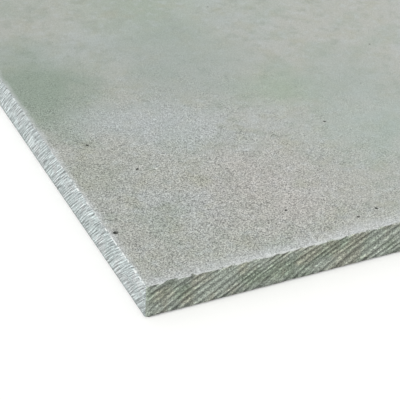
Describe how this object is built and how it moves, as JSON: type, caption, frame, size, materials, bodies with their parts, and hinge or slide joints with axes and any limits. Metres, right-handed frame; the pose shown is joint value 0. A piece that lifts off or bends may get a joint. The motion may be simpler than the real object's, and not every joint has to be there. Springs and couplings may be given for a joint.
{
  "type": "fibre cement facade board",
  "caption": "Flat uncoated fibre cement facade board: a thin rectangular sheet with sawn edges and lightly crushed arrises, for cladding fixed to battens.",
  "frame": {"origin": "middle of the back face, which is the face the board lies on", "axes": "+X along the long edges, +Y across the board, +Z out of the front face"},
  "size_m": [1.2, 0.6, 0.012],
  "materials": {
    "fibre_cement": "matte"
  },
  "bodies": {
    "root": {"facade_board": "fibre_cement"}
  },
  "joints": []
}
